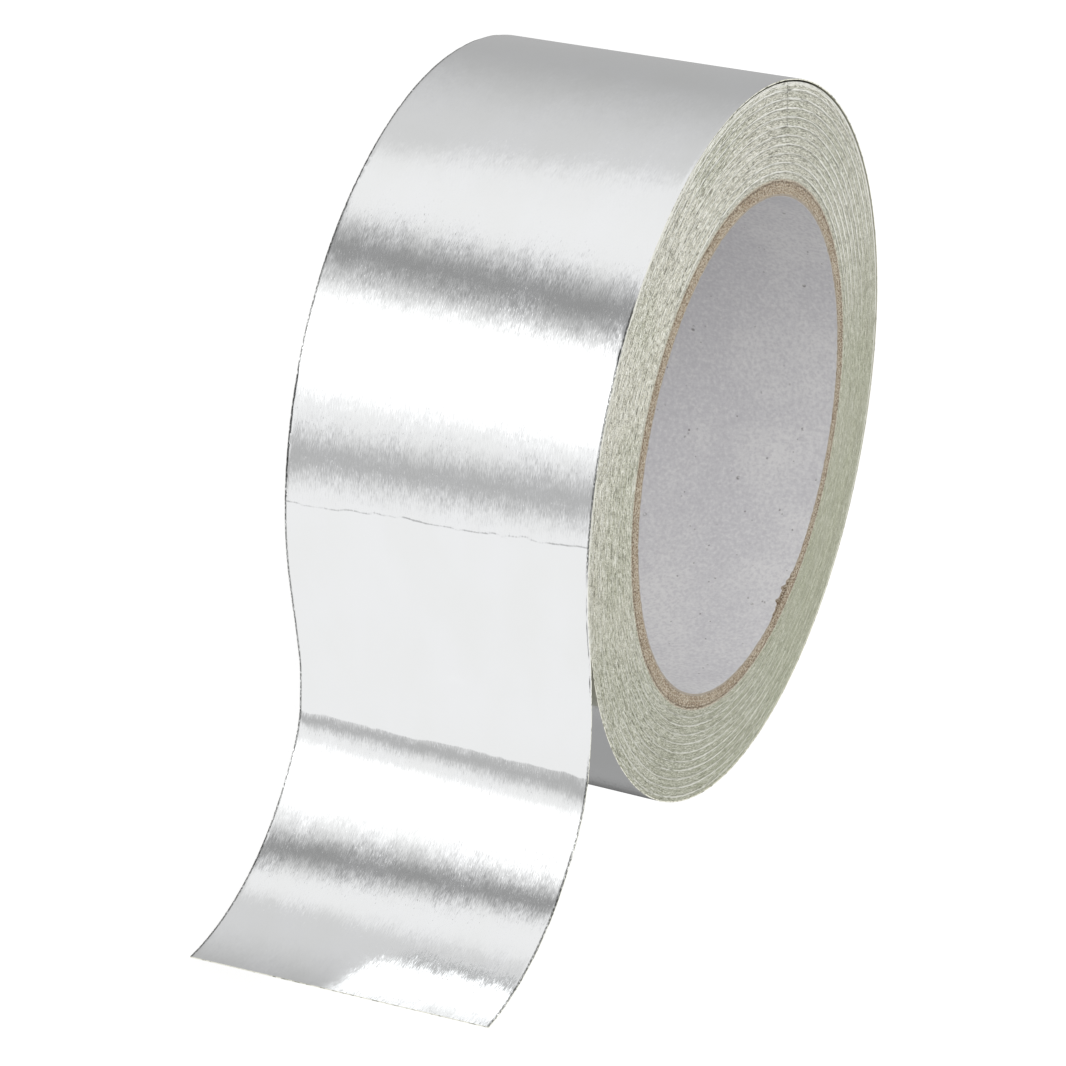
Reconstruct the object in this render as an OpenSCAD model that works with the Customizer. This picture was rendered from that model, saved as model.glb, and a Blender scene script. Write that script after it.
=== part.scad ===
// Roll of aluminium foil tape, standing on its end, with its free end unrolled a little.
// The axis of the roll is +Z, its lower end lies on z = 0, and the origin is on the axis there.
// Sizes are in millimetres and angles in degrees, from +X towards +Y.

/* [Tape] */
// Width of the tape, which is the height of the roll as it stands
tape_w = 48; // [12:1:100]
// Thickness of the tape: foil, glue and release paper together
tape_t = 0.18; // [0.12:0.01:0.4]
// Radius of the roll at the last turn that was wound tight
wound_r = 55; // [50:0.1:90]

/* [Core] */
// Diameter of the hole through the roll
bore_d = 76; // [50:0.5:80]
// Thickness of the grey paper that lines the core
lining_t = 0.4; // [0.2:0.1:1]
// Thickness of the brown board of the core
board_t = 2.2; // [1:0.1:4]

/* [Ends of the wound turns] */
// Usual thickness of a bundle of turns that were wound level with each other
bundle_t = 0.9; // [0.5:0.1:3]
// Depth to which a bundle can lie below the edge of the tape
bundle_drop = 0.16; // [0.05:0.01:0.5]

/* [Loose last turn] */
// Direction in which the last turn stands off the roll most
loose_angle = 80; // [40:5:120]
// Gap under the last turn in that direction
loose_gap = 0.45; // [0.3:0.05:1.5]
// Gap under the last turn where the free end leaves the roll
leave_gap = 0.06; // [0.04:0.01:0.2]

/* [Free end] */
// Direction in which the free end leaves the roll
leave_angle = 214.9; // [190:0.1:250]
// How much sooner the upper edge leaves the roll than the middle, which sets the end askew
leave_skew = 1.1; // [0:0.1:3]
// Straight length just after the tape leaves the roll
tail_straight = 8.8; // [2:0.1:20]
// Radius of the first bend, away from the roll
first_bend_r = 21.8; // [15:0.1:60]
// Angle of the first bend
first_bend_angle = 45.6; // [10:0.1:60]
// Radius of the flatter stretch after it
flat_bend_r = 49; // [30:1:200]
// Angle of the flatter stretch
flat_bend_angle = 10.6; // [2:0.1:30]
// Radius of the last bend, where the end curls outwards
last_bend_r = 35.5; // [20:0.5:90]
// Angle of the last bend
last_bend_angle = 44.7; // [10:0.1:70]

/* [Hidden] */
$fn = 180;

bore_r = bore_d / 2;
lining_r = bore_r + lining_t;
core_r = lining_r + board_t;

// The wound turns are drawn as bundles, which end at different heights
bundles = round((wound_r - core_r) / bundle_t);
bundle_pitch = (wound_r - core_r) / bundles;
// Share of a bundle by which its edge wanders in or out
edge_wander = 0.22;
// Share of the drop that a low bundle always has, and share that a high one can have
low_share = 0.55;
high_share = 0.22;
// Angles in degrees that make the heights and edges irregular without repeating
height_beat = 137.5;
edge_beat = 97.3;
// Difference between the upper and lower ends, so that they do not mirror each other
lower_end_beat = 61;

// Outer radius of the bundle with this number, counted from the core
function bundle_r(number) =
    let (wander = number > 0 && number < bundles ? edge_wander * sin(number * edge_beat) : 0)
    core_r + bundle_pitch * (number + wander);

// Depth of a bundle's end: every second bundle is a low one
function bundle_depth(number, beat) =
    let (wave = (1 + sin(number * height_beat + beat)) / 2)
    bundle_drop * (number % 2 == 0 ? high_share * wave : low_share + (1 - low_share) * wave);

// The last turn has two arcs that meet in the loose direction, where it stands off most.
// In the first it rises out of the turns below it, and in the second it settles again.
start_angle = leave_angle - 360;
// Thickness of the wound turns over the start of the last turn, and the depth of its underside
start_cover = 0.05;
start_depth = tape_t + start_cover;

// Distance of an arc's centre from the axis, if it ends with this gap after this angle
function centre_shift(end_gap, angle) = (loose_gap - end_gap) / (1 - cos(angle));
rise_shift = centre_shift(-start_depth, loose_angle - start_angle);
settle_shift = centre_shift(leave_gap, leave_angle - loose_angle);
loose_r = wound_r + loose_gap + tape_t / 2;
rise_r = loose_r - rise_shift;
settle_r = loose_r - settle_shift;

// Pieces of the last turn and the free end that follow each other are drawn in turn full and
// thin. A thin one lies this far inside its neighbours' faces and laps into both of them.
thin_inset = 0.005;
lap = 0.3;

// A tube that stands on z = 0
module tube(outer_r, inner_r) {
    rotate_extrude()
        translate([inner_r, 0])
            square([outer_r - inner_r, tape_w]);
}

// A straight length of tape along +X, with what follows it at its far end
module straight(length) {
    translate([0, -tape_t / 2, 0])
        cube([length, tape_t, tape_w]);
    translate([length, 0, 0])
        children();
}

// A bend in tape that runs along +X, with what follows it at its far end.
// A positive angle turns left, towards +Y, and a negative one turns right.
module bend(radius, angle, thin = false) {
    side = sign(angle);
    inset = thin ? thin_inset : 0;
    lap_angle = thin ? lap / radius * 180 / PI : 0;
    first_angle = (side > 0 ? -90 : 90 + angle) - lap_angle;
    translate([0, side * radius, 0]) {
        rotate([0, 0, first_angle])
            rotate_extrude(angle = abs(angle) + 2 * lap_angle)
                translate([radius - tape_t / 2 + inset, inset])
                    square([tape_t - 2 * inset, tape_w - 2 * inset]);
        rotate([0, 0, angle])
            translate([0, -side * radius, 0])
                children();
    }
}

// Section of the wound turns, from the core out, with a step at the edge of each bundle
module wound_section() {
    upper = [for (n = [0:bundles - 1], step = [0, 1])
        [bundle_r(n + step), tape_w - bundle_depth(n, 0)]];
    lower = [for (n = [bundles - 1:-1:0], step = [1, 0])
        [bundle_r(n + step), bundle_depth(n, lower_end_beat)]];
    polygon(concat(upper, lower));
}

// Board tube that the tape is wound on
module core() {
    color([0.72, 0.6, 0.46])
        tube(core_r, lining_r);
}

// Innermost ply of the core, a smooth grey paper
module core_lining() {
    color([0.78, 0.77, 0.8])
        tube(lining_r, bore_r);
}

// The free end, which leaves the roll along +X a little askew, so each height starts elsewhere
module free_end() {
    seat = leave_skew + lap;
    multmatrix([[1, 0, -2 * leave_skew / tape_w, leave_skew - seat],
                [0, 1, 0, 0],
                [0, 0, 1, 0]])
        straight(seat + tail_straight)
            bend(first_bend_r, -first_bend_angle, thin = true)
                bend(flat_bend_r, -flat_bend_angle)
                    bend(last_bend_r, -last_bend_angle, thin = true);
}

// All the turns of tape, with the loose last turn and the free end that it runs out into
module tape() {
    color([0.85, 0.86, 0.87]) {
        rotate_extrude()
            wound_section();
        translate([rise_shift * cos(loose_angle), rise_shift * sin(loose_angle), 0])
            rotate([0, 0, start_angle])
                translate([rise_r, 0, 0])
                    rotate([0, 0, 90])
                        bend(rise_r, loose_angle - start_angle)
                            bend(settle_r, leave_angle - loose_angle, thin = true)
                                free_end();
    }
}

core();
core_lining();
tape();
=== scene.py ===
import math

import bmesh
import bpy
from mathutils import Matrix, Vector, noise


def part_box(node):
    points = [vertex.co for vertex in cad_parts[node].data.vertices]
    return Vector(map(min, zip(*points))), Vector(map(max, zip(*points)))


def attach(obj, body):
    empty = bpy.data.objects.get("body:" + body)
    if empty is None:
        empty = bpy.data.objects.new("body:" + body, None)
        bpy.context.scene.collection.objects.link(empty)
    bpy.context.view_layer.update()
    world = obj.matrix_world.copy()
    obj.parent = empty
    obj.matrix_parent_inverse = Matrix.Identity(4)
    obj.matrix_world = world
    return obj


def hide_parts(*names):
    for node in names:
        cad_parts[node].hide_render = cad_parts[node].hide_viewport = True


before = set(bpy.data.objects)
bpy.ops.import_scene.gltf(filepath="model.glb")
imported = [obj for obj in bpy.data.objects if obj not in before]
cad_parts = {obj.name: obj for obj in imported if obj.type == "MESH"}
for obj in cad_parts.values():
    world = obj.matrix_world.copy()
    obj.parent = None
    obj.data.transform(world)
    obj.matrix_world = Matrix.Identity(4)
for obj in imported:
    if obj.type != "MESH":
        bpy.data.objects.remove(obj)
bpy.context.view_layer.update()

# The core board tube. It is wound from plies of brown kraft paper and cut to length with a
# knife, so its edge shows the plies as fine lines and a few fibres stand up from it.

MM = 0.001
TAPE_LOW, TAPE_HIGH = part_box("tape")
TAPE_W = TAPE_HIGH.z
CORE_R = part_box("core")[1].x
LINING_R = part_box("core_lining")[1].x
BOARD_PLIES = 5
PLY_DROP = 0.07 * MM
CORE_STEPS = 720
FIBRE_LIFT = 0.05 * MM
SHARP_ANGLE = math.radians(35)

BOARD_TAN = (180, 165, 144)
BOARD_BROWN = (152, 133, 110)
BOARD_DARK = (98, 82, 66)
BOARD_PALE = (214, 206, 188)
BOARD_DULL = (168, 150, 128)


class Value:
    """A number in a material, on which arithmetic adds Math nodes."""

    def __init__(self, tree, socket):
        self.tree = tree
        self.socket = socket

    def math(self, operation, *others, **settings):
        inputs = dict(enumerate([self, *others]))
        return self.tree.add("ShaderNodeMath", inputs, operation=operation, **settings)

    def __add__(self, other):
        return self.math("ADD", other)

    def __sub__(self, other):
        return self.math("SUBTRACT", other)

    def __mul__(self, other):
        return self.math("MULTIPLY", other)

    def __truediv__(self, other):
        return self.math("DIVIDE", other)

    def __rsub__(self, other):
        return self.tree.add("ShaderNodeMath", {0: other, 1: self}, operation="SUBTRACT")

    __radd__ = __add__
    __rmul__ = __mul__

    def from_to(self, low, high):
        """0 at low and 1 at high, with a soft start and end."""
        return self.tree.add(
            "ShaderNodeMapRange",
            {"Value": self, "From Min": low, "From Max": high},
            interpolation_type="SMOOTHSTEP",
        )


class Tree:
    """The nodes of one material or of the world."""

    def __init__(self, owner):
        owner.use_nodes = True
        self.nodes = owner.node_tree.nodes
        self.links = owner.node_tree.links
        self.nodes.clear()

    def add(self, kind, inputs=None, output=0, **settings):
        """Adds a node, sets its settings and then its sockets, and gives one of its outputs."""
        node = self.nodes.new(kind)
        for name, setting in settings.items():
            setattr(node, name, setting)
        for name, value in (inputs or {}).items():
            if isinstance(value, Value):
                self.links.new(value.socket, node.inputs[name])
            else:
                node.inputs[name].default_value = value
        return Value(self, node.outputs[output]) if node.outputs else None

    def mix(self, factor, first, second):
        """A colour between two others."""
        inputs = {"Factor": factor, 6: first, 7: second}
        return self.add("ShaderNodeMix", inputs, output=2, data_type="RGBA")

    def noise(self, place, scale, detail=2.0, roughness=0.5):
        inputs = {"Vector": place, "Scale": scale, "Detail": detail, "Roughness": roughness}
        return self.add("ShaderNodeTexNoise", inputs)

    def axes(self, place):
        """The three numbers of a place."""
        split = self.add("ShaderNodeSeparateXYZ", {0: place}).socket.node
        return [Value(self, output) for output in split.outputs]

    def vector(self, x, y, z=0.0):
        return self.add("ShaderNodeCombineXYZ", {0: x, 1: y, 2: z})

    def vector_math(self, operation, *inputs):
        return self.add("ShaderNodeVectorMath", dict(enumerate(inputs)), operation=operation)

    def object_place(self):
        return self.add("ShaderNodeTexCoord", output=3)

    def radius(self):
        """The distance from the axis of the roll."""
        x, y, _ = self.axes(self.object_place())
        return (x * x + y * y).math("SQRT")

    def turned_place(self, arc, across):
        """A place for marks that run round the axis, with their length and their width."""
        x, y, _ = self.axes(self.object_place())
        radius = self.radius()
        round_x, round_y = x / radius * (CORE_R / arc), y / radius * (CORE_R / arc)
        return self.vector(round_x, round_y, radius / across)

    def bump(self, height, distance):
        inputs = {"Height": height, "Distance": distance, "Strength": 1.0}
        return self.add("ShaderNodeBump", inputs)

    def finish(self, **inputs):
        """Ends a material with one principled surface. A _ in a name stands for a space."""
        sockets = {name.replace("_", " "): value for name, value in inputs.items()}
        surface = self.add("ShaderNodeBsdfPrincipled", sockets)
        self.add("ShaderNodeOutputMaterial", {"Surface": surface})


def tint(rgb):
    """A colour given as screen values from 0 to 255, as the light that it stands for."""
    linear = [v / 255 / 12.92 if v <= 10 else ((v / 255 + 0.055) / 1.055) ** 2.4 for v in rgb]
    return (*linear, 1.0)


def new_piece(name, mesh, materials, slot, *nodes):
    """Makes an object of a finished bmesh, which stands for nodes of the frame."""
    data = bpy.data.meshes.new(name)
    mesh.to_mesh(data)
    mesh.free()
    for material in materials:
        data.materials.append(material)
    data.shade_smooth()
    data.set_sharp_from_angle(angle=SHARP_ANGLE)
    piece = bpy.data.objects.new(name, data)
    bpy.context.scene.collection.objects.link(piece)
    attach(piece, "root")
    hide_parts(*nodes)
    return piece


def turned_tube(profile, steps):
    """Spins a closed outline of (radius, height) once round the axis of the roll."""
    mesh = bmesh.new()
    corners = [mesh.verts.new((radius, 0, height)) for radius, height in profile]
    edges = [mesh.edges.new((a, b)) for a, b in zip(corners, corners[1:] + corners[:1])]
    bmesh.ops.spin(
        mesh,
        geom=corners + edges,
        cent=(0, 0, 0),
        axis=(0, 0, 1),
        angle=math.tau,
        steps=steps,
        use_merge=True,
    )
    bmesh.ops.recalc_face_normals(mesh, faces=mesh.faces)
    return mesh


def inward(height):
    """1 at the lower end of the roll and -1 at the upper end."""
    return 1 if height < TAPE_W / 2 else -1


def board_material():
    material = bpy.data.materials.new("kraft_board")
    tree = Tree(material)
    place = tree.object_place()
    radius = tree.radius()
    # Plies show as fine dark lines round the edge of the tube, and glue darkens its outside
    wobble = tree.noise(place, 900.0, 3.0)
    ply = ((radius - LINING_R) / ((CORE_R - LINING_R) / BOARD_PLIES)).math("FRACT")
    line = (ply + (wobble - 0.5) * 0.7).from_to(0.7, 0.95)
    outside = radius + (wobble - 0.5) * (0.5 * MM)
    glue = outside.from_to(CORE_R - 0.75 * MM, CORE_R - 0.45 * MM)
    pale = outside.from_to(CORE_R - 0.32 * MM, CORE_R - 0.15 * MM)
    fibres = tree.noise(tree.turned_place(0.7 * MM, 0.22 * MM), 1.0, 3.0, 0.65)
    flecks = tree.noise(place, 4200.0, 1.0)
    blotch = tree.noise(place, 160.0, 2.0)
    colour = tree.mix(blotch.from_to(0.3, 0.7), tint(BOARD_TAN), tint(BOARD_DULL))
    colour = tree.mix(fibres.from_to(0.52, 0.7), colour, tint(BOARD_PALE))
    colour = tree.mix((1 - fibres.from_to(0.3, 0.46)) * 0.8, colour, tint(BOARD_BROWN))
    colour = tree.mix(line * 0.4, colour, tint(BOARD_DARK))
    colour = tree.mix(glue * 0.65, colour, tint(BOARD_DARK))
    colour = tree.mix(pale * 0.8, colour, tint(BOARD_PALE))
    colour = tree.mix(flecks.from_to(0.52, 0.62) * 0.7, colour, tint(BOARD_PALE))
    colour = tree.mix((1 - flecks.from_to(0.36, 0.46)) * 0.8, colour, tint(BOARD_DARK))
    rough = tree.noise(place, 2600.0, 4.0, 0.7)
    normal = tree.bump(fibres + flecks + rough * 0.7, 0.15 * MM)
    tree.finish(Base_Color=colour, Roughness=0.92, Normal=normal, Specular_IOR_Level=0.2)
    return material


board_edge = []
for ply in range(BOARD_PLIES + 1):
    radius = LINING_R + (CORE_R - LINING_R) * ply / BOARD_PLIES
    board_edge.append((radius, PLY_DROP * (ply * 2 % 3) / 2))
profile = list(board_edge)
profile += [(r, TAPE_W - drop) for r, drop in reversed(board_edge)]
mesh = turned_tube(profile, CORE_STEPS)
for vert in mesh.verts:
    ragged = noise.noise(vert.co * 1400) + 0.6 * noise.noise(vert.co * 4100)
    vert.co.z += inward(vert.co.z) * FIBRE_LIFT * (0.9 + 0.5 * ragged)
new_piece("core_board_tube", mesh, [board_material()], "core_board", "core")

# The lining of the core. It is one ply of smooth grey-white paper glued into the board tube,
# and where the knife passed it is a little ragged and, in one place, torn down.

BORE_R = LINING_R - 0.4 * MM
LINING_DROP = 0.05 * MM
LINING_ROWS = 11
LINING_RAGGED = 0.16 * MM
TEAR_ANGLE = math.radians(322)
TEAR_HALF = math.radians(9)
TEAR_DEPTH = 0.9 * MM
LINING_GREY = (222, 221, 221)
LINING_SHADE = (211, 210, 212)
SPECK_GREY = (110, 104, 102)
MOTTLE_DARK = (194, 192, 196)
MOTTLE_PALE = (229, 228, 228)
PLY_DARK = (128, 114, 96)
PLY_PALE = (186, 176, 160)


def lining_material():
    material = bpy.data.materials.new("core_lining_paper")
    tree = Tree(material)
    place = tree.object_place()
    cloud = tree.noise(place, 70.0, 3.0, 0.6)
    mottle = tree.noise(place, 1700.0, 3.0, 0.6)
    colour = tree.mix(cloud.from_to(0.35, 0.68), tint(LINING_SHADE), tint(LINING_GREY))
    colour = tree.mix(mottle.from_to(0.45, 0.65) * 0.5, colour, tint(MOTTLE_DARK))
    colour = tree.mix((1 - mottle.from_to(0.35, 0.45)) * 0.5, colour, tint(MOTTLE_PALE))
    # Sparse fibres and specks of dirt in the recycled paper
    for scale, low, size in ((420.0, 0.54, 0.15), (800.0, 0.52, 0.17), (150.0, 0.6, 0.07)):
        spread = tree.add("ShaderNodeTexVoronoi", {"Vector": place, "Scale": scale})
        chosen = tree.noise(place, scale * 0.37, 1.0)
        speck = 1 - (spread - chosen.from_to(low, low + 0.14) * size).from_to(-0.05, 0.03)
        patchy = tree.noise(place, scale * 4, 2.0).from_to(0.35, 0.6)
        colour = tree.mix(speck * patchy * 0.7, colour, tint(SPECK_GREY))
    # The cut edge shows the brown of the plies behind
    edge = (tree.radius() - BORE_R).from_to(0, 0.06 * MM)
    brown = tree.mix(mottle, tint(PLY_DARK), tint(PLY_PALE))
    colour = tree.mix(edge * 0.9, colour, brown)
    normal = tree.bump(mottle * 0.4 + cloud, 0.08 * MM)
    tree.finish(Base_Color=colour, Roughness=0.6, Normal=normal, Specular_IOR_Level=0.3)
    return material


lining_edge = [(BORE_R, LINING_DROP), (BORE_R + 0.15 * MM, 0.0), (LINING_R, 0.02 * MM)]
profile = list(lining_edge)
profile += [(r, TAPE_W - drop) for r, drop in reversed(lining_edge)]
mesh = turned_tube(profile, CORE_STEPS)
lengthwise = [edge for edge in mesh.edges if edge.calc_length() > TAPE_W / 2]
bmesh.ops.subdivide_edges(mesh, edges=lengthwise, cuts=LINING_ROWS, use_grid_fill=True)
for vert in mesh.verts:
    if min(vert.co.z, TAPE_W - vert.co.z) < 0.2 * MM:
        ragged = abs(noise.noise(vert.co * 900)) + 0.5 * abs(noise.noise(vert.co * 3000))
        angle = math.atan2(vert.co.y, vert.co.x) % math.tau
        torn = max(0, 1 - abs(angle - TEAR_ANGLE) / TEAR_HALF) if vert.co.z > TAPE_W / 2 else 0
        torn *= 0.5 + 1.2 * abs(noise.noise((angle * 28, 5, 0)))
        vert.co.z += inward(vert.co.z) * (LINING_RAGGED * ragged + TEAR_DEPTH * torn)
new_piece("core_paper_lining", mesh, [lining_material()], "lining_paper", "core_lining")

# The wound turns. About eighty turns of foil, glue and release paper lie on each other, and the
# roll was slit on a lathe, so its ends show every turn as a fine edge at its own height.

TAPE_T = 0.18 * MM
WOUND_R = 55 * MM
START_COVER = 0.05 * MM
TURNS = round((WOUND_R - START_COVER - CORE_R) / TAPE_T)
TURN_PITCH = (WOUND_R - START_COVER - CORE_R) / TURNS
TURN_STEPS = 240
TURN_DROP = 0.16 * MM
BUNDLE_TURNS = 7.6
LEAVE_ANGLE = math.radians(214.9)
SLACK = 0.24 * MM
SLACK_ANGLE = math.radians(80)
# Turn edge cream as painted on the shaded side and on the lit side, its own green, and a white
# and a dark for marks, painted highlight and painted shade
EDGE_SHADED_SIDE = (177, 179, 157)
EDGE_LIT_SIDE = (215, 213, 197)
EDGE_GREEN = (172, 176, 150)
EDGE_WHITE = (250, 250, 242)
EDGE_DARK = (72, 72, 60)
SPLICE_ANGLE = math.radians(96.5)


def turn_depth(turn, end):
    """How far the edge of a turn lies below the end of the roll. Some of a bundle stand proud."""
    bundle = turn / BUNDLE_TURNS + 0.35 * noise.noise((turn * 0.09, 1.3 + end * 9, 0))
    proud = max(0, 1 - abs(bundle % 1 - 0.85) / 0.13)
    single = noise.noise((turn * 1.37, 7.7 + end * 9, 0))
    return TURN_DROP * min(1, max(0.02, 0.55 + 0.4 * single - 0.6 * proud))


def smooth(share):
    """Eases a share that grows from 0 to 1, so that it starts and ends softly."""
    share = min(1, max(0, share))
    return share * share * (3 - 2 * share)


def slack(angle):
    """How far the outer turns stand off the roll under the loose last turn."""
    return SLACK * smooth(0.5 + 0.5 * math.cos(angle - SLACK_ANGLE))


def wound_end(mesh, uv, end):
    """One end of the roll: a narrow strip that winds outwards from the core."""
    before = set(mesh.verts)
    cells = TURNS * TURN_STEPS
    z_end = TAPE_W * (1 - end)
    bmesh.ops.create_grid(mesh, x_segments=cells, y_segments=2, size=1)
    for vert in mesh.verts:
        if vert in before:
            continue
        across = (0.0, 0.8, 1.0)[round(vert.co.y + 1)]
        turn = round((vert.co.x + 1) / 2 * cells) / TURN_STEPS - 1
        angle = LEAVE_ANGLE + turn * math.tau
        radius = CORE_R + TURN_PITCH * max(0, turn + across)
        radius += slack(angle) * smooth((turn + across) / TURNS * 4 - 3)
        height = z_end + inward(z_end) * turn_depth(turn + (across == 1.0), end)
        vert.co = (radius * math.cos(angle), radius * math.sin(angle), height)
        arc = math.tau * CORE_R * turn + math.pi * TURN_PITCH * turn * turn
        for loop in vert.link_loops:
            loop[uv].uv = (arc, (turn + across) * TURN_PITCH)


def turn_edge_material():
    material = bpy.data.materials.new("turn_edges")
    tree = Tree(material)
    place = tree.object_place()
    x, y, _ = tree.axes(place)
    radius = tree.radius()
    arc, across, _ = tree.axes(tree.add("ShaderNodeUVMap", uv_map="winding"))
    # Release paper, glue and foil show as fine short dashes along the turns
    fine = tree.noise(tree.turned_place(0.75 * MM, 0.09 * MM), 1.0, 1.0)
    finest = tree.noise(tree.vector(arc / (0.25 * MM), across / (0.08 * MM)), 1.0, 1.0)
    dashes = tree.noise(tree.turned_place(2.4 * MM, 0.15 * MM), 1.0, 2.0, 0.6)
    grain = tree.noise(place, 7500.0, 0.0)
    # The side above the free end is painted lighter, as painted light from that side, and there
    # the dashes show more painted glint of foil
    cut = tree.noise(place, 60.0, 2.0)
    painted_lit_side = (y - x + (cut - 0.5) * (30 * MM)).from_to(-75 * MM, 75 * MM)
    colour = tree.mix(painted_lit_side, tint(EDGE_SHADED_SIDE), tint(EDGE_LIT_SIDE))
    patches = tree.noise(place, 45.0, 2.0)
    colour = tree.mix(patches.from_to(0.42, 0.7) * 0.5, colour, tint(EDGE_GREEN))
    height = y / radius
    # How strongly the dashes show, their white partly a painted glint: most on the painted lit
    # side, and a little more towards -Y
    strength = painted_lit_side * 0.72 + (0 - height).from_to(0.4, 1.0) * 0.25 + 0.28
    mixed = fine * 0.35 + finest * 0.15 + dashes * 0.28 + grain * 0.22
    colour = tree.mix(mixed.from_to(0.5, 0.57) * strength, colour, tint(EDGE_WHITE))
    colour = tree.mix((1 - mixed.from_to(0.42, 0.49)) * strength * 0.8, colour, tint(EDGE_DARK))
    # Turns that stand proud get a painted highlight above and below the core, and painted shade
    # on the next ones
    bundle = ((radius - CORE_R) / (TURN_PITCH * BUNDLE_TURNS) + 0.12).math("FRACT")
    bundle = bundle + (cut - 0.5) * 0.3 + (dashes - 0.5) * 0.15
    ring_light_share = height.from_to(0.3, 0.85) + (0 - height).from_to(0.5, 1.0) * 0.5 + 0.1
    shade = bundle.from_to(0.55, 0.8) * ring_light_share
    colour = tree.mix(shade * 0.25, colour, tint(EDGE_DARK))
    ridge_bump_and_highlight = bundle.from_to(0.81, 0.9) * ring_light_share
    # A painted glint along the edge of the outermost turn
    outermost_glint = radius.from_to(WOUND_R - 0.5 * MM, WOUND_R - 0.3 * MM)
    shown = ridge_bump_and_highlight.math("MAXIMUM", outermost_glint * 0.7)
    colour = tree.mix(shown * dashes.from_to(0.28, 0.5), colour, tint(EDGE_WHITE))
    # A speckled line across the turns near the top shows where the paper was joined
    angle = y.math("ARCTAN2", x)
    from_splice = (angle - (radius - CORE_R) * 6.5 - SPLICE_ANGLE + 0.04).math("ABSOLUTE")
    splice = 1 - (from_splice * radius).from_to(0.1 * MM, 0.45 * MM)
    splice = splice * radius.from_to(CORE_R + 5 * MM, CORE_R + 9 * MM)
    colour = tree.mix(splice * dashes.from_to(0.45, 0.6) * 0.8, colour, tint(EDGE_DARK))
    metal = dashes.from_to(0.6, 0.7) * strength * 0.6
    normal = tree.bump(mixed * 2.5 + ridge_bump_and_highlight * 0.6, 0.1 * MM)
    tree.finish(
        Base_Color=colour,
        Roughness=0.5,
        Metallic=metal,
        Normal=normal,
        Specular_IOR_Level=0.3,
    )
    return material


# The foil of the wound turns is rolled aluminium. Fine rolling lines run along the tape, and
# being handled has left it with faint ripples.

FOIL_WHITE = (242, 243, 244)
FOIL_GREY = (240, 241, 241)
# Grey of the painted dark reflections in the burred edges of the foil
BURR_REFLECTION_GREY = (74, 75, 70)
SPAN_FADE = 5 * MM


def within(place, spans):
    """1 where a place lies inside one of some spans and 0 elsewhere."""
    inside = place * 0.0
    for start, stop in spans:
        begun = place.from_to(start, start + SPAN_FADE)
        inside = inside + begun * (1 - place.from_to(stop - SPAN_FADE, stop))
    return inside


def foil_material(name, touched, taut):
    """Foil, with the lengths whose upper edge has been touched and those that are pulled flat."""
    material = bpy.data.materials.new(name)
    tree = Tree(material)
    along, across, _ = tree.axes(tree.add("ShaderNodeUVMap", uv_map="winding"))
    fine = tree.noise(tree.vector(along / (1.0 * MM), across / (0.11 * MM)), 1.0, 2.0)
    scratch = tree.noise(tree.vector(along / (0.6 * MM), across / (0.12 * MM)), 1.0, 1.0)
    lines = tree.noise(tree.vector(along / (3.0 * MM), across / (0.4 * MM)), 1.0, 2.0, 0.6)
    ripples = tree.noise(tree.vector(along / (2.6 * MM), across / (2.2 * MM)), 1.0, 3.0, 0.6)
    cloud = tree.noise(tree.vector(along / (14 * MM), across / (9 * MM)), 1.0, 2.0)
    # The lines tip the foil a little forwards or backwards along the tape
    facing = tree.add("ShaderNodeNewGeometry", output=1)
    forwards = tree.vector_math("CROSS_PRODUCT", (0, 0, 1), facing)
    tip = (fine - 0.5) * 0.17 + (lines - 0.5) * 0.06 + (ripples - 0.5) * 0.08
    tip = tip + scratch.from_to(0.66, 0.76) * 0.1
    tip = tip * (cloud.from_to(0.3, 0.7) * 0.6 + 0.6) + (cloud - 0.5) * 0.03
    tip = tip * (1 - within(along, taut) * 0.75)
    forwards = tree.add("ShaderNodeVectorMath", {0: forwards, 3: tip}, operation="SCALE")
    normal = tree.vector_math("NORMALIZE", tree.vector_math("ADD", facing, forwards))
    roughness = cloud * 0.05 + 0.085
    colour = tree.mix(cloud.from_to(0.3, 0.7), tint(FOIL_GREY), tint(FOIL_WHITE))
    # Painted dark reflections of the burred edges darken both edges, but the upper one only where
    # the tape has been touched
    shown = within(along, touched) + 1 - across.from_to(0.4 * TAPE_W, 0.6 * TAPE_W)
    from_edge = across.math("MINIMUM", TAPE_W - across)
    burr_dark_reflection = tree.noise(tree.vector(along / (0.5 * MM), across / (0.14 * MM)), 1.0, 3.0, 0.6)
    burr_dark_reflection = burr_dark_reflection.from_to(0.38, 0.5) * (1 - from_edge.from_to(0.2 * MM, 0.4 * MM))
    burr_dark_reflection = burr_dark_reflection * shown.math("MINIMUM", 1.0)
    colour = tree.mix(burr_dark_reflection * 0.85, colour, tint(BURR_REFLECTION_GREY))
    tree.finish(Base_Color=colour, Metallic=1.0, Roughness=roughness, Normal=normal)
    return material


mesh = bmesh.new()
winding = mesh.loops.layers.uv.new("winding")
wound_end(mesh, winding, 0)
wound_end(mesh, winding, 1)
bmesh.ops.remove_doubles(mesh, verts=mesh.verts, dist=0.002 * MM)
rims = [edge for edge in mesh.edges if edge.is_boundary]
middle_r = (CORE_R + WOUND_R) / 2
for outer in (False, True):
    rim = [edge for edge in rims if (edge.verts[0].co.xy.length > middle_r) == outer]
    wall = bmesh.ops.bridge_loops(mesh, edges=rim)["faces"]
    for face in wall:
        face.material_index = int(outer)
        for loop in face.loops:
            arc = math.atan2(loop.vert.co.y, loop.vert.co.x) * WOUND_R
            loop[winding].uv = (arc, loop.vert.co.z)
bmesh.ops.recalc_face_normals(mesh, faces=mesh.faces)
wound_materials = [turn_edge_material(), foil_material("inner_foil", [], [])]
new_piece("wound_turns", mesh, wound_materials, "foil", "tape")

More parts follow.
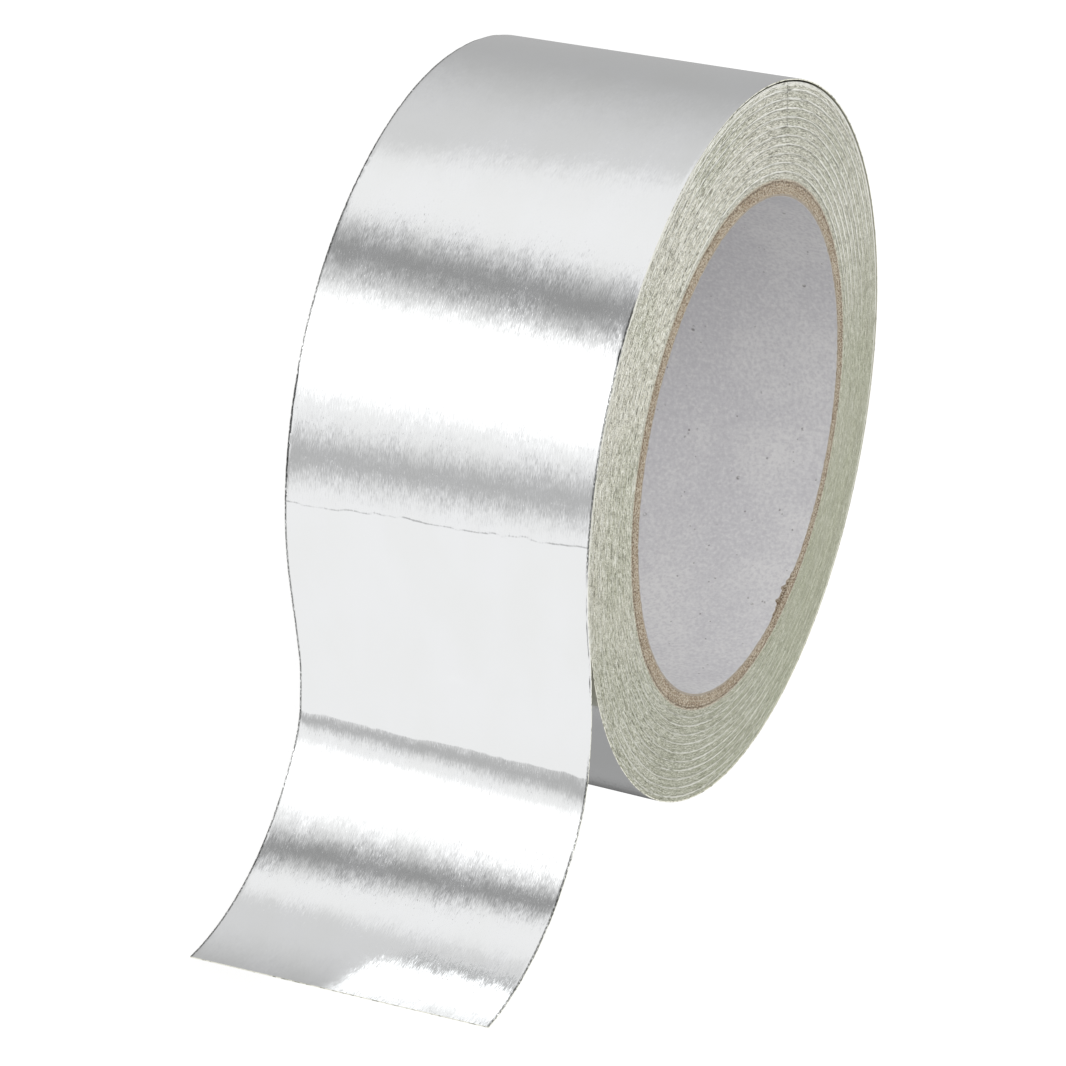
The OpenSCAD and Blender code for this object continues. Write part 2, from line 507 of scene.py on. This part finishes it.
# The last turn and the free end. The last turn of the tape sits loose on the roll, and then
# the tape lifts off it a little askew and curls away. Its back is the release paper. It has a
# fine crease on the roll, and a sharper one where it was first lifted.

LOOSE_ANGLE = math.radians(80)
LOOSE_GAP = 0.45 * MM
LEAVE_GAP = 0.06 * MM
LEAVE_SKEW = 1.1 * MM
START_ANGLE = LEAVE_ANGLE - math.tau
START_DEPTH = TAPE_T + START_COVER
TAIL_STRAIGHT = 8.8 * MM
# The bends after the straight length, as radius and angle, all away from the roll
BENDS = [(21.8 * MM, 45.6), (49 * MM, 10.6), (35.5 * MM, 44.7)]
SHEET_T = TAPE_T - 0.01 * MM


def centre_shift(end_gap, angle):
    """How far the centre of an arc of the last turn lies from the axis."""
    return (LOOSE_GAP - end_gap) / (1 - math.cos(angle))


RISE_SHIFT = centre_shift(-START_DEPTH, LOOSE_ANGLE - START_ANGLE)
SETTLE_SHIFT = centre_shift(LEAVE_GAP, LEAVE_ANGLE - LOOSE_ANGLE)
LOOSE_R = WOUND_R + LOOSE_GAP + TAPE_T / 2
# Each part of the run as its length and how much it turns left for each metre
RUN = [
    ((LOOSE_R - RISE_SHIFT) * (LOOSE_ANGLE - START_ANGLE), 1 / (LOOSE_R - RISE_SHIFT)),
    ((LOOSE_R - SETTLE_SHIFT) * (LEAVE_ANGLE - LOOSE_ANGLE), 1 / (LOOSE_R - SETTLE_SHIFT)),
    (TAIL_STRAIGHT, 0.0),
]
RUN += [(radius * math.radians(angle), -1 / radius) for radius, angle in BENDS]
RUN_LENGTH = sum(length for length, _ in RUN)
LEAVE_AT = RUN[0][0] + RUN[1][0]
LEAVE_WAY = Vector((-math.sin(LEAVE_ANGLE), math.cos(LEAVE_ANGLE)))
RUN_START = Vector((math.cos(LOOSE_ANGLE), math.sin(LOOSE_ANGLE))) * RISE_SHIFT
RUN_START += Vector((math.cos(START_ANGLE), math.sin(START_ANGLE))) * (LOOSE_R - RISE_SHIFT)


def run_place(distance):
    """Where the middle of the tape's thickness is after a distance, and which way is outwards."""
    place = RUN_START.copy()
    heading = START_ANGLE + math.pi / 2
    for length, curve in RUN:
        part = min(distance, length)
        distance -= part
        turned = heading + part * curve
        if curve:
            across = (math.sin(turned) - math.sin(heading), math.cos(heading) - math.cos(turned))
            place += Vector(across) / curve
        else:
            place += Vector((math.cos(heading), math.sin(heading))) * part
        heading = turned
    return place, Vector((math.sin(heading), -math.cos(heading)))


LIP_W = 0.3 * MM
LIP_CURL = 0.07 * MM
# Share of the curl on the upper edge and past the sharper crease
WEAK_LIP = 0.4
DENT = 0.02 * MM
FINE_CREASE_AT = LEAVE_AT - 15.2 * MM
FINE_CREASE_DRIFT = -2.4 * MM
FINE_CREASE_H = 0.045 * MM
FINE_CREASE_W = 0.14 * MM
# The lifted length swells before the sharper crease, and more so at its upper edge
LIFT_CREASE_AT = LEAVE_AT + 19.1 * MM
LIFT_CREASE_DRIFT = 1.3 * MM
SWELL = 0.42 * MM
SWELL_FROM, SWELL_TO = -22.3 * MM, -4.8 * MM
CREASE_FALL = 4.5 * MM
# What is left of the swelling at the crease settles again after it
LEFT_LOW, LEFT_HIGH = 0.15 * MM, 1.3 * MM
SETTLE_LENGTH = 12 * MM
SETTLE_SLOPE = 0.07
WAVE_AT, WAVE_W, WAVE_H = 12.8 * MM, 5.5 * MM, 0.3 * MM


def wander(across, seed):
    """How far a crease strays from a straight line across the tape."""
    slow = noise.noise((across * 90, seed, 0))
    quick = noise.noise((across * 330, seed, 3)) + noise.noise((across * 850, seed, 6))
    return slow * 0.5 * MM + quick * 0.32 * MM


def lift_crease(distance, across):
    """Height of the tape at a distance from the sharper crease."""
    left = LEFT_LOW + (LEFT_HIGH - LEFT_LOW) * across / TAPE_W
    wave = WAVE_H * (across / TAPE_W) ** 2 * math.exp(-(((distance - WAVE_AT) / WAVE_W) ** 2))
    if distance > 0:
        share = min(1, distance / SETTLE_LENGTH)
        slope = SETTLE_SLOPE * SETTLE_LENGTH * share * (1 - share) ** 2
        return wave + left * (1 - smooth(share)) - slope
    swollen = smooth((distance - SWELL_FROM) / (SWELL_TO - SWELL_FROM))
    fall = max(0, 1 + distance / CREASE_FALL)
    return wave + (SWELL + left) * swollen - SWELL * fall * fall


def relief(along, across):
    """How far the foil stands out from its plain run."""
    height = DENT * (noise.noise((along * 60, across * 50, 2.0)) - 1)
    offset = along - FINE_CREASE_AT - FINE_CREASE_DRIFT * across / TAPE_W - wander(across, 1)
    broken = 0.75 + 0.8 * noise.noise((across * 260, 4, 0))
    height += FINE_CREASE_H * max(0.2, broken) * math.exp(-((offset / FINE_CREASE_W) ** 2))
    from_crease = along - LIFT_CREASE_AT - LIFT_CREASE_DRIFT * across / TAPE_W
    stray = wander(across, 2) * max(0, 1 - abs(from_crease) / CREASE_FALL)
    height += lift_crease(from_crease - stray, across)
    # The knife curled the edges of the foil towards the roll, more in some places than in others
    lip = max(0, 1 - min(across, TAPE_W - across) / LIP_W)
    curled = 0.75 + 1.3 * noise.noise((along * 45, across * 20, 8))
    curled += 0.8 * noise.noise((along * 260, 3, 8)) + 1.3 * noise.noise((along * 1100, 0, 9))
    if across > TAPE_W / 2 or along > LIFT_CREASE_AT:
        curled *= WEAK_LIP
    return height - LIP_CURL * max(0.05, curled) * math.sin(min(1, lip * 1.5) * math.pi / 2)


def stations(end, step, spans):
    """Distances from 0 to an end. A span is its start, its stop and its own, shorter step."""
    places = [0.0]
    while places[-1] < end:
        here = places[-1]
        shortest = min([step] + [short for low, high, short in spans if low <= here < high])
        stops = [low for low, _, _ in spans if low > here] + [end]
        places.append(min([here + shortest] + stops))
    return places


PAPER_SHADE = (208, 207, 186)
PAPER_CREAM = (218, 217, 197)
PAPER_PALE = (226, 225, 208)
CUT_SHADE = (150, 150, 132)
CUT_CREAM = (246, 245, 230)


def paper_material():
    material = bpy.data.materials.new("release_paper")
    tree = Tree(material)
    along, across, _ = tree.axes(tree.add("ShaderNodeUVMap", uv_map="winding"))
    fibres = tree.noise(tree.vector(along / (1.2 * MM), across / (0.8 * MM)), 1.0, 4.0, 0.65)
    cloud = tree.noise(tree.vector(along / (9 * MM), across / (9 * MM)), 1.0, 2.0)
    colour = tree.mix(fibres.from_to(0.3, 0.7), tint(PAPER_SHADE), tint(PAPER_CREAM))
    colour = tree.mix(cloud.from_to(0.4, 0.7) * 0.4, colour, tint(PAPER_PALE))
    normal = tree.bump(fibres + cloud * 2, 0.02 * MM)
    tree.finish(Base_Color=colour, Roughness=0.38, Normal=normal)
    return material


def cut_edge_material():
    material = bpy.data.materials.new("tape_cut_edge")
    tree = Tree(material)
    broken = tree.noise(tree.object_place(), 1100.0, 3.0, 0.6)
    colour = tree.mix(broken.from_to(0.36, 0.5), tint(CUT_SHADE), tint(CUT_CREAM))
    tree.finish(Base_Color=colour, Roughness=0.5, Metallic=broken.from_to(0.6, 0.7) * 0.4)
    return material


spans = [
    (LEAVE_AT - 70 * MM, RUN_LENGTH, 0.6 * MM),
    (FINE_CREASE_AT - 4 * MM, FINE_CREASE_AT + 1.5 * MM, 0.12 * MM),
    (LIFT_CREASE_AT - 1.5 * MM, LIFT_CREASE_AT + 3 * MM, 0.15 * MM),
]
alongs = stations(RUN_LENGTH, 1.5 * MM, spans)
lips = [(0, LIP_W, 0.1 * MM), (TAPE_W - LIP_W, TAPE_W, 0.1 * MM)]
acrosses = stations(TAPE_W, 0.5 * MM, lips)
places = [run_place(along) for along in alongs]
mesh = bmesh.new()
winding = mesh.loops.layers.uv.new("winding")
bmesh.ops.create_grid(mesh, x_segments=len(alongs) - 1, y_segments=len(acrosses) - 1, size=1)
for vert in mesh.verts:
    step = round((vert.co.x + 1) / 2 * (len(alongs) - 1))
    along = alongs[step]
    across = acrosses[round((vert.co.y + 1) / 2 * (len(acrosses) - 1))]
    for loop in vert.link_loops:
        loop[winding].uv = (along, across)
    middle, outwards = places[step]
    free = min(1, max(0, (along - LEAVE_AT) / TAIL_STRAIGHT))
    middle = middle + outwards * relief(along, across)
    middle = middle - LEAVE_WAY * LEAVE_SKEW * free * (2 * across / TAPE_W - 1)
    vert.co = (middle.x, middle.y, across)
touched = [(LEAVE_AT - 55 * MM, LEAVE_AT - 11 * MM), (LEAVE_AT + 16 * MM, RUN_LENGTH + SPAN_FADE)]
taut = [(FINE_CREASE_AT, LIFT_CREASE_AT)]
tape_run = new_piece(
    "last_turn_and_free_end",
    mesh,
    [foil_material("foil", touched, taut), paper_material(), cut_edge_material()],
    "foil",
    "tape",
)
thick = tape_run.modifiers.new("thickness", "SOLIDIFY")
thick.thickness = SHEET_T
thick.offset = 0.0
thick.material_offset = 1
thick.material_offset_rim = 2
solid = tape_run.evaluated_get(bpy.context.evaluated_depsgraph_get())
tape_run.data = bpy.data.meshes.new_from_object(solid)
tape_run.modifiers.clear()
tape_run.data.set_sharp_from_angle(angle=SHARP_ANGLE)

# The floor is a plain pale sheet, and one large soft lamp hangs on the camera's side. Bright
# foil shows the studio round it as soft bands: white walls, a soft box beside the camera and the
# grey gaps next to it. These walls stand low, because standing foil mirrors what lies below.

FLOOR_SIZE = 6.0
FLOOR_Z = -0.05 * MM
WALL_R = 0.65
WALL_LOW, WALL_HIGH = -0.75, -0.03
WALL_STEPS = 72
WALL_GLOW = 0.47
# Panels as middle in degrees from +X towards +Y, lean in degrees for each metre of height, half
# width, softness and brightness. A later one hides what lies under it.
PANELS = {
    "side_wall": (105, 0, 35, 50, 0.71),
    "bright_corner": (117, -65, 14, 12, 0.92),
    "front_wall": (190, 0, 76, 14, 0.95),
    "dark_side": (318, 0, 46, 20, 0.36),
    "darkest_corner": (342, 0, 13, 26, 0.16),
    "soft_box": (171.5, 0, 12, 16, 1.7),
    "gap_left_of_camera": (144.2, 42, 7.5, 15, 0.31),
    "gap_right_of_camera": (204.2, -33, 6.0, 12, 0.48),
}
LEAN_FROM = -0.255
CEILING_GLOW = 0.14
AMBIENT = 0.72
FLOOR_GREY = 0.85
FLOOR_GLOW = 1.2
LAMP_SIZE = 0.9
LAMP_POWER = 6.0
LAMP_PLACE = (-0.6, 0.5, 0.9)


def stage_piece(name, mesh, material):
    data = bpy.data.meshes.new(name)
    mesh.to_mesh(data)
    mesh.free()
    data.materials.append(material)
    piece = bpy.data.objects.new(name, data)
    bpy.context.scene.collection.objects.link(piece)
    return piece


floor_material = bpy.data.materials.new("floor")
tree = Tree(floor_material)
paint = tree.add("ShaderNodeBsdfDiffuse", {"Color": (FLOOR_GREY, FLOOR_GREY, FLOOR_GREY, 1)})
glow = tree.add("ShaderNodeEmission", {"Color": (1, 1, 1, 1), "Strength": FLOOR_GLOW})
seen = tree.add("ShaderNodeLightPath", output="Is Camera Ray")
surface = tree.add("ShaderNodeMixShader", {0: seen * 0.7, 1: paint, 2: glow})
tree.add("ShaderNodeOutputMaterial", {"Surface": surface})
mesh = bmesh.new()
bmesh.ops.create_grid(mesh, x_segments=1, y_segments=1, size=FLOOR_SIZE / 2)
bmesh.ops.translate(mesh, verts=mesh.verts, vec=(0, 0, FLOOR_Z))
floor = stage_piece("floor", mesh, floor_material)
floor.visible_glossy = False

wall_material = bpy.data.materials.new("studio_walls")
wall_material.cycles.emission_sampling = "NONE"
tree = Tree(wall_material)
x, y, z = tree.axes(tree.object_place())
azimuth = y.math("ARCTAN2", x) * math.degrees(1)
level = azimuth * 0.0 + WALL_GLOW
for middle, lean, half_width, softness, brightness in PANELS.values():
    leant = azimuth - (z - LEAN_FROM) * lean
    away = ((leant + (540 - middle)).math("FLOORED_MODULO", 360) - 180).math("ABSOLUTE")
    covered = 1 - away.from_to(half_width - softness / 2, half_width + softness / 2)
    level = level + covered * (brightness - level)
glow = tree.add("ShaderNodeEmission", {"Color": (1, 1, 1, 1), "Strength": level})
tree.add("ShaderNodeOutputMaterial", {"Surface": glow})
mesh = bmesh.new()
bmesh.ops.create_circle(mesh, segments=WALL_STEPS, radius=WALL_R)
bmesh.ops.translate(mesh, verts=mesh.verts, vec=(0, 0, WALL_LOW))
upper = bmesh.ops.extrude_edge_only(mesh, edges=mesh.edges)["geom"]
raised = [part for part in upper if isinstance(part, bmesh.types.BMVert)]
bmesh.ops.translate(mesh, verts=raised, vec=(0, 0, WALL_HIGH - WALL_LOW))
walls = stage_piece("studio_walls", mesh, wall_material)
walls.visible_camera = False
walls.visible_diffuse = False
walls.visible_shadow = False
walls.visible_transmission = False

world = bpy.data.worlds.new("studio")
bpy.context.scene.world = world
tree = Tree(world)
camera_ray = tree.add("ShaderNodeLightPath", output="Is Camera Ray")
glossy_ray = tree.add("ShaderNodeLightPath", output="Is Glossy Ray")
light = glossy_ray * (CEILING_GLOW - AMBIENT) + AMBIENT
strength = camera_ray + (1 - camera_ray) * light
background = tree.add("ShaderNodeBackground", {"Color": (1, 1, 1, 1), "Strength": strength})
tree.add("ShaderNodeOutputWorld", {"Surface": background})

lamp_data = bpy.data.lights.new("soft_lamp", "AREA")
lamp_data.shape = "DISK"
lamp_data.size = LAMP_SIZE
lamp_data.energy = LAMP_POWER
lamp = bpy.data.objects.new("soft_lamp", lamp_data)
lamp.location = LAMP_PLACE
lamp.rotation_euler = (-lamp.location).to_track_quat("-Z", "Y").to_euler()
lamp.visible_glossy = False
bpy.context.scene.collection.objects.link(lamp)

# The camera looks down on the roll from the side of the free end. It is turned so that the
# axis of the roll runs across the picture.

CAMERA_PLACE = Vector((-509.3, 23.2, 236.1)) * MM
CAMERA_FORWARD = Vector((0.9155, -0.0765, -0.3949))
CAMERA_UP = Vector((0.0, 0.9818, -0.1901))
SENSOR = 36.0
PICTURE = 1066
FOCAL_PIXELS = 3600
NEAR_LIMIT = 0.01

camera_data = bpy.data.cameras.new("camera")
camera_data.sensor_width = SENSOR
camera_data.lens = SENSOR * FOCAL_PIXELS / PICTURE
camera_data.clip_start = NEAR_LIMIT
camera = bpy.data.objects.new("camera", camera_data)
back = -CAMERA_FORWARD.normalized()
right = CAMERA_UP.cross(back).normalized()
up = back.cross(right)
turned = Matrix((right, up, back)).transposed().to_4x4()
camera.matrix_world = Matrix.Translation(CAMERA_PLACE) @ turned
bpy.context.scene.collection.objects.link(camera)
bpy.context.scene.camera = camera
bpy.context.scene.view_settings.view_transform = "Standard"
